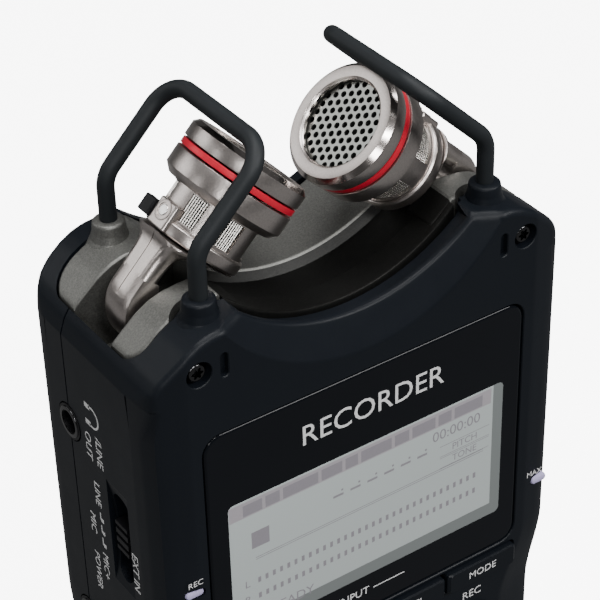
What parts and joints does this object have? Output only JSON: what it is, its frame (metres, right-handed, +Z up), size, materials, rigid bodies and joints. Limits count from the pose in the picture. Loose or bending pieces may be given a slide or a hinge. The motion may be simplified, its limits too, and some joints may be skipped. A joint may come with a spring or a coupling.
{
  "type": "handheld stereo sound recorder",
  "caption": "Pocket sound recorder with a large display, swinging condenser microphones under guard rods, keys, side switches and combination sockets in the bottom end",
  "frame": {"origin": "middle of the bottom end, on the plane that the recorder stands on", "axes": "+Z up the body towards the microphones, -Y out of the display face, +X to the right as the display is read"},
  "size_m": [0.0702, 0.035, 0.155],
  "materials": {
    "shell": "fine satin texture, blue black",
    "base": "speckled gunmetal paint",
    "mic": "sparkling champagne gunmetal with polished chamfers",
    "mesh": "fine woven wire",
    "grille": "perforated sheet",
    "red": "satin red",
    "rod": "matt slate rubber coat on steel",
    "lens": "smoked clear plastic, printed black behind",
    "lcd": "grey green liquid crystal",
    "key": "satin",
    "socket": "satin black",
    "lamp": "frosted light pipe",
    "screw": "black oxide",
    "contact": "bright nickel",
    "brass": "machined",
    "board": "solder mask",
    "cell": "plain wrap"
  },
  "bodies": {
    "housing": {"front_shell": "shell", "rear_shell": "shell", "mic_base": "base", "display_lens": "lens", "lcd_panel": "lcd", "main_board": "board", "guard_rod_left": "rod", "guard_rod_right": "rod", "battery_cell_1": "cell", "battery_cell_2": "cell", "battery_cell_3": "cell", "battery_springs": "contact", "mic_hinge_pin_left": "contact", "mic_hinge_pin_right": "contact", "peak_lamp": "lamp", "four_track_lamp": "lamp", "front_screw_left": "screw", "front_screw_right": "screw", "rear_screw_left": "screw", "rear_screw_right": "screw", "combo_jack_left": "socket", "combo_jack_right": "socket", "headphone_jack": "socket", "remote_jack": "socket", "tripod_nut": "brass", "speaker": "socket"},
    "left_microphone": {"mic_arm_left": "mic", "mic_body_left": "mic", "mic_mesh_left": "mesh", "mic_ring_left": "red", "mic_cap_left": "mic", "mic_grille_left": "grille", "mic_capsule_left": "socket", "mic_clamp_pin_left": "contact", "mic_bumper_left": "socket"},
    "right_microphone": {"mic_arm_right": "mic", "mic_body_right": "mic", "mic_mesh_right": "mesh", "mic_ring_right": "red", "mic_cap_right": "mic", "mic_grille_right": "grille", "mic_capsule_right": "socket", "mic_clamp_pin_right": "contact", "mic_bumper_right": "socket"},
    "escape_key": {"escape_key": "key"},
    "input_key": {"input_key": "key"},
    "level_key": {"level_key": "key"},
    "rec_mode_key": {"rec_mode_key": "key"},
    "stop_button": {"stop_button": "key"},
    "record_button": {"record_button": "key"},
    "direction_pad": {"direction_pad": "key"},
    "play_button": {"play_button": "key"},
    "menu_key": {"menu_key": "key"},
    "quick_key": {"quick_key": "key"},
    "input_slider": {"input_slider": "socket"},
    "power_slider": {"power_slider": "socket"},
    "volume_rocker": {"volume_rocker": "key"},
    "card_door": {"card_door": "shell"},
    "battery_cover": {"battery_cover": "shell"}
  },
  "joints": [
    {"name": "left_microphone_swing", "type": "hinge", "parent": "housing", "child": "left_microphone", "pos_m": [-0.02405, 0.00025, 0.1287], "axis": [0, -1, 0], "range_deg": [0, 90]},
    {"name": "right_microphone_swing", "type": "hinge", "parent": "housing", "child": "right_microphone", "pos_m": [0.02405, 0.00025, 0.1287], "axis": [0, 1, 0], "range_deg": [0, 90]},
    {"name": "escape_key_press", "type": "slide", "parent": "housing", "child": "escape_key", "axis": [0, 1, 0], "range_m": [0, 0.0005], "stiffness_N_per_m": 1500},
    {"name": "input_key_press", "type": "slide", "parent": "housing", "child": "input_key", "axis": [0, 1, 0], "range_m": [0, 0.0005], "stiffness_N_per_m": 1500},
    {"name": "level_key_press", "type": "slide", "parent": "housing", "child": "level_key", "axis": [0, 1, 0], "range_m": [0, 0.0005], "stiffness_N_per_m": 1500},
    {"name": "rec_mode_key_press", "type": "slide", "parent": "housing", "child": "rec_mode_key", "axis": [0, 1, 0], "range_m": [0, 0.0005], "stiffness_N_per_m": 1500},
    {"name": "stop_button_press", "type": "slide", "parent": "housing", "child": "stop_button", "axis": [0, 1, 0], "range_m": [0, 0.0005], "stiffness_N_per_m": 1500},
    {"name": "record_button_press", "type": "slide", "parent": "housing", "child": "record_button", "axis": [0, 1, 0], "range_m": [0, 0.0005], "stiffness_N_per_m": 1500},
    {"name": "direction_pad_press", "type": "slide", "parent": "housing", "child": "direction_pad", "axis": [0, 1, 0], "range_m": [0, 0.0005], "stiffness_N_per_m": 1500},
    {"name": "play_button_press", "type": "slide", "parent": "housing", "child": "play_button", "axis": [0, 1, 0], "range_m": [0, 0.0005], "stiffness_N_per_m": 1500},
    {"name": "menu_key_press", "type": "slide", "parent": "housing", "child": "menu_key", "axis": [0, 1, 0], "range_m": [0, 0.0005], "stiffness_N_per_m": 1500},
    {"name": "quick_key_press", "type": "slide", "parent": "housing", "child": "quick_key", "axis": [0, 1, 0], "range_m": [0, 0.0005], "stiffness_N_per_m": 1500},
    {"name": "input_slider_slide", "type": "slide", "parent": "housing", "child": "input_slider", "axis": [0, 0, 1], "range_m": [-0.003, 0.003]},
    {"name": "power_slider_slide", "type": "slide", "parent": "housing", "child": "power_slider", "axis": [0, 0, 1], "range_m": [-0.003, 0.003]},
    {"name": "volume_rocker_tilt", "type": "hinge", "parent": "housing", "child": "volume_rocker", "pos_m": [0.0334, 0.0104, 0.104], "axis": [0, 1, 0], "range_deg": [-2.5, 2.5], "stiffness_Nm_per_rad": 0.05},
    {"name": "card_door_hinge", "type": "hinge", "parent": "housing", "child": "card_door", "pos_m": [0.0338, 0.00315, 0.053], "axis": [0, 0, 1], "range_deg": [0, 90]},
    {"name": "battery_cover_slide", "type": "slide", "parent": "housing", "child": "battery_cover", "axis": [0, 0, -1], "range_m": [0, 0.008]}
  ]
}
